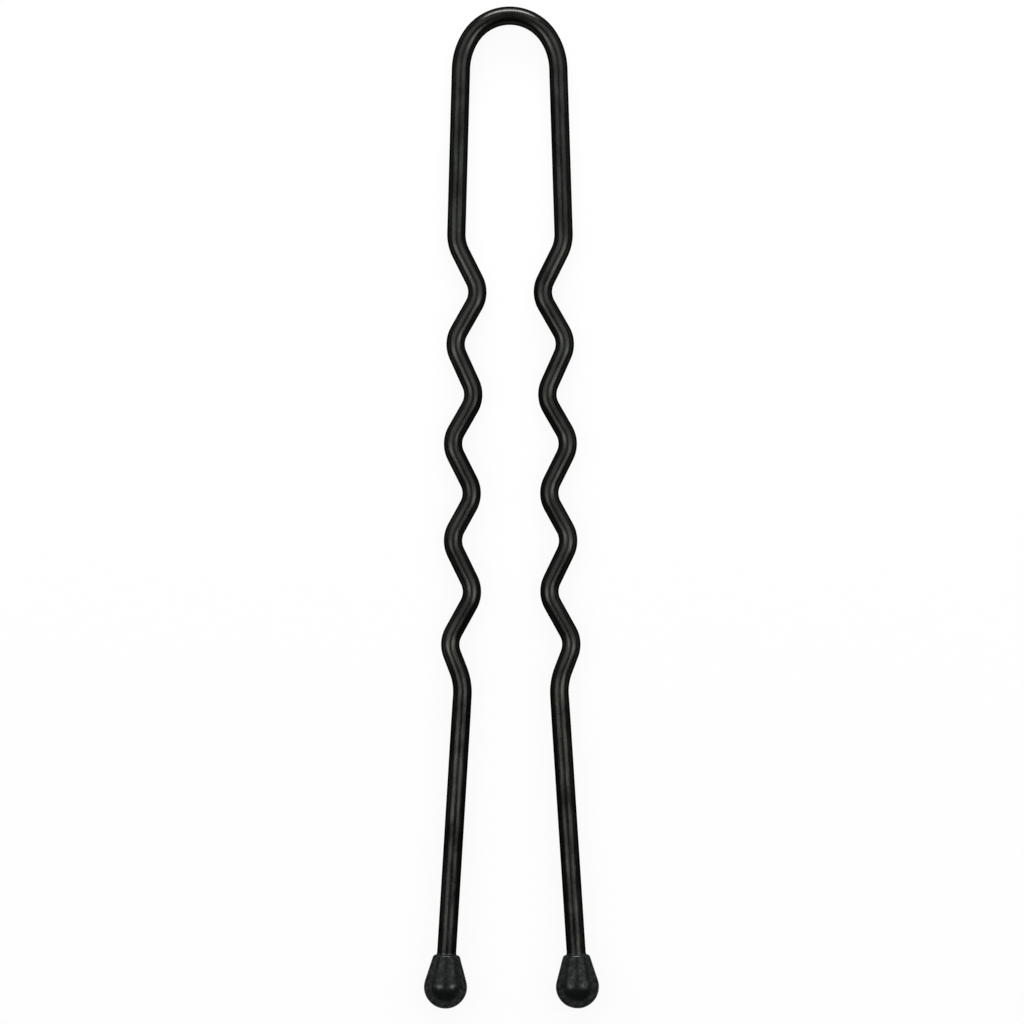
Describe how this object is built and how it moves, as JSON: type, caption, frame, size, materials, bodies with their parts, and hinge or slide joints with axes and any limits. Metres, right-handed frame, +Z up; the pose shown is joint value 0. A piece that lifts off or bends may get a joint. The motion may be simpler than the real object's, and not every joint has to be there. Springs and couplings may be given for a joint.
{
  "type": "hairpin",
  "caption": "U-shaped hairpin of round wire with a smooth bow, a crimped waist, splayed straight shanks and a moulded ball on each tip.",
  "frame": {"origin": "on the surface that the pin lies on, under the middle of its box", "axes": "+Y along the pin towards the bow, so the tips point along -Y; +X across the legs to the right leg; +Z up from the surface"},
  "size_m": [0.0114, 0.065, 0.0028],
  "materials": {
    "lacquered_wire": "satin black lacquer baked on spring steel wire",
    "moulded_tip": "soft satin black moulding, faintly uneven"
  },
  "bodies": {
    "bow": {"bow": "lacquered_wire"},
    "left_leg": {"left_leg": "lacquered_wire", "left_tip": "moulded_tip"},
    "right_leg": {"right_leg": "lacquered_wire", "right_tip": "moulded_tip"}
  },
  "joints": [
    {"name": "left_leg_flex", "type": "hinge", "parent": "bow", "child": "left_leg", "pos_m": [-0.00316, 0.02848, 0.00064], "axis": [0, -0.0127, -0.9999], "range_deg": [-2.5, 8], "stiffness_Nm_per_rad": 0.3},
    {"name": "right_leg_flex", "type": "hinge", "parent": "bow", "child": "right_leg", "pos_m": [0.00316, 0.02848, 0.00064], "axis": [0, 0.0127, 0.9999], "range_deg": [-2.5, 8], "stiffness_Nm_per_rad": 0.3}
  ]
}
